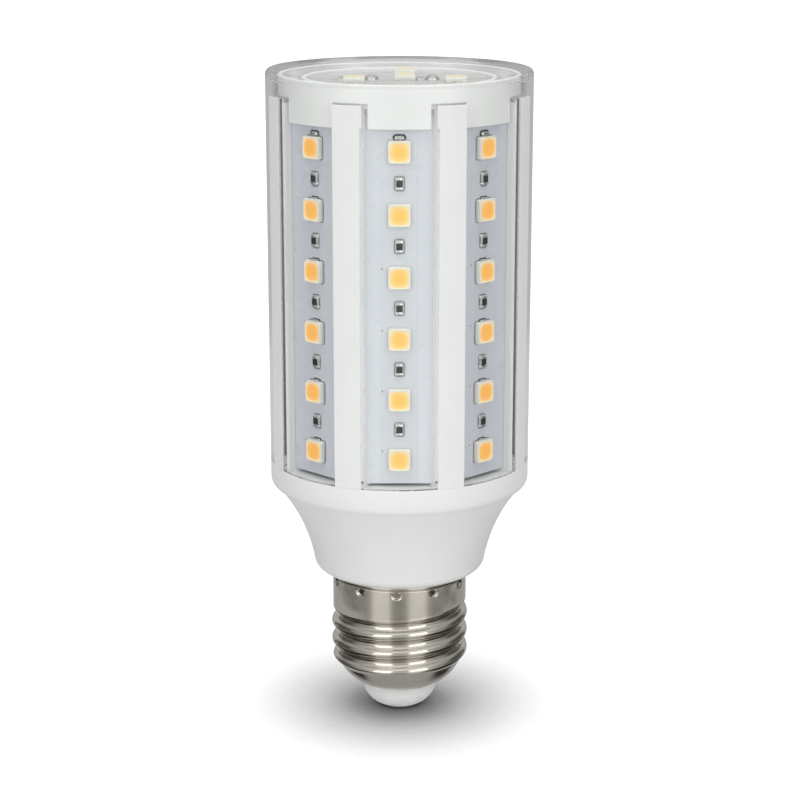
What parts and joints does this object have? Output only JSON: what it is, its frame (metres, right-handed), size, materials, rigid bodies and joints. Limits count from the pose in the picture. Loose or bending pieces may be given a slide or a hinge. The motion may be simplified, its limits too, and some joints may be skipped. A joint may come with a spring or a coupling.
{
  "type": "led corn bulb",
  "caption": "LED corn bulb: Edison screw cap, flared white housing with upright ribs, light strips between the ribs under a clear slotted cover, and a lit board under its flat top.",
  "frame": {"origin": "middle of the centre contact's flat end, on the axis", "axes": "+Z along the bulb's axis, from the contact to the clear top; -Y is the front, where a light strip faces; +X is to the right seen from the front"},
  "size_m": [0.049, 0.049, 0.1236],
  "materials": {
    "cap_nickel": "bright nickel plate over drawn sheet, faint draw lines",
    "insulator": "smooth white moulding",
    "contact": "tinned, slightly dull",
    "white_plastic": "white satin moulding",
    "clear_plastic": "clear polished moulding",
    "strip_mask": "pale solder mask with a faint blue cast",
    "led_body": "cream moulded cup",
    "phosphor": "clear gel over yellow phosphor",
    "resistor": "black glaze with tinned ends",
    "top_mask": "white solder mask",
    "solder": "bright solder",
    "driver_mask": "green solder mask",
    "capacitor_sleeve": "dark shrink sleeve",
    "film_epoxy": "dipped epoxy",
    "chip_black": "black moulding compound",
    "ferrite": "dark ferrite",
    "fuse_enamel": "matt green enamel",
    "lead_red": "red insulation",
    "lead_black": "black insulation"
  },
  "bodies": {
    "root": {"screw_shell": "cap_nickel", "base_insulator": "insulator", "centre_contact": "contact", "lower_housing": "white_plastic", "rib_cage": "white_plastic", "clear_cover": "clear_plastic", "top_ring": "white_plastic", "strip_board_1": "strip_mask", "strip_board_2": "strip_mask", "strip_board_3": "strip_mask", "strip_board_4": "strip_mask", "strip_board_5": "strip_mask", "strip_board_6": "strip_mask", "strip_board_7": "strip_mask", "strip_board_8": "strip_mask", "strip_leds_1": "led_body", "strip_leds_2": "led_body", "strip_leds_3": "led_body", "strip_leds_4": "led_body", "strip_leds_5": "led_body", "strip_leds_6": "led_body", "strip_leds_7": "led_body", "strip_leds_8": "led_body", "strip_phosphors_1": "phosphor", "strip_phosphors_2": "phosphor", "strip_phosphors_3": "phosphor", "strip_phosphors_4": "phosphor", "strip_phosphors_5": "phosphor", "strip_phosphors_6": "phosphor", "strip_phosphors_7": "phosphor", "strip_phosphors_8": "phosphor", "strip_resistors_1": "resistor", "strip_resistors_2": "resistor", "strip_resistors_3": "resistor", "strip_resistors_4": "resistor", "strip_resistors_5": "resistor", "strip_resistors_6": "resistor", "strip_resistors_7": "resistor", "strip_resistors_8": "resistor", "top_board": "top_mask", "top_leds": "led_body", "top_phosphors": "phosphor", "top_resistors": "resistor", "strip_links": "solder", "driver_board": "driver_mask", "bulk_capacitor": "capacitor_sleeve", "film_capacitor": "film_epoxy", "bridge_rectifier": "chip_black", "drum_inductor": "ferrite", "fuse_resistor": "fuse_enamel", "driver_chip": "chip_black", "live_lead": "lead_red", "neutral_lead": "lead_black", "led_lead_plus": "lead_red", "led_lead_minus": "lead_black"}
  },
  "joints": []
}
